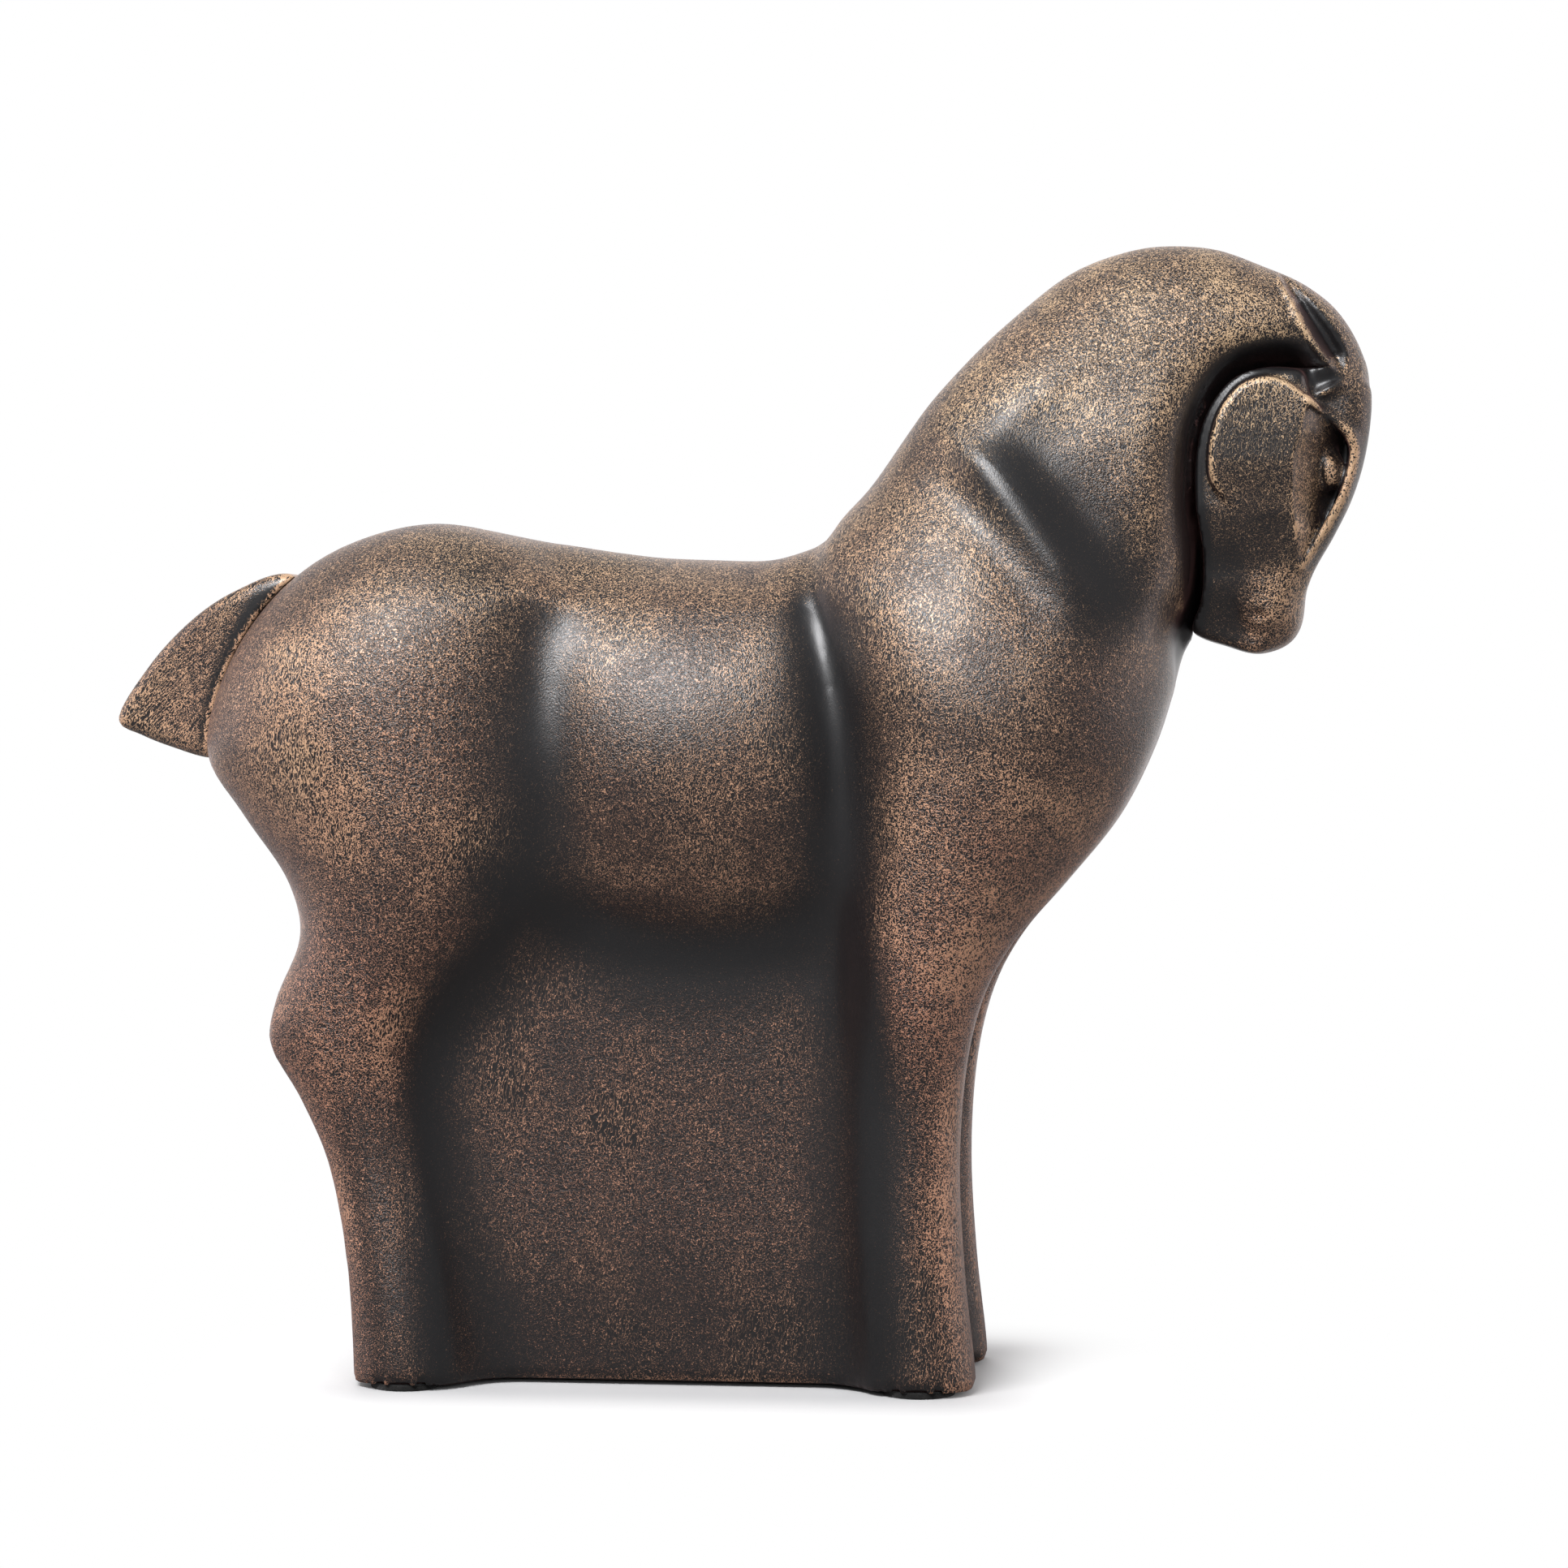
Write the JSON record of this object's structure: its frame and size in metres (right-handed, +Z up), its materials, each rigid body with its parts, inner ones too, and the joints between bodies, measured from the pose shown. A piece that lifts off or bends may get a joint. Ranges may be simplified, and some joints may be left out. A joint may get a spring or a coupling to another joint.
{
  "type": "horse figurine",
  "caption": "Stylised standing horse ornament, hollow cast in resin with a patinated bronze finish, with a bonded head and tail, a closing plate underneath and felt pads.",
  "frame": {"origin": "on the table under the middle of the figurine's overall box", "axes": "+X towards the horse's head along its length, +Y towards its left side across the mid-plane, +Z up from the table"},
  "size_m": [0.3599, 0.121, 0.3195],
  "materials": {
    "patinated_resin": "satin, dark base with dry-brushed bronze",
    "plain_resin": "matte dark paint",
    "dowel_steel": "plain drawn rod",
    "pad_felt": "pressed black felt"
  },
  "bodies": {
    "root": {"body_shell": "patinated_resin", "head": "patinated_resin", "tail": "patinated_resin", "base_plate": "plain_resin", "head_dowel_upper": "dowel_steel", "head_dowel_lower": "dowel_steel", "tail_dowel": "dowel_steel", "felt_pad_front_left": "pad_felt", "felt_pad_front_right": "pad_felt", "felt_pad_rear_left": "pad_felt", "felt_pad_rear_right": "pad_felt"}
  },
  "joints": []
}
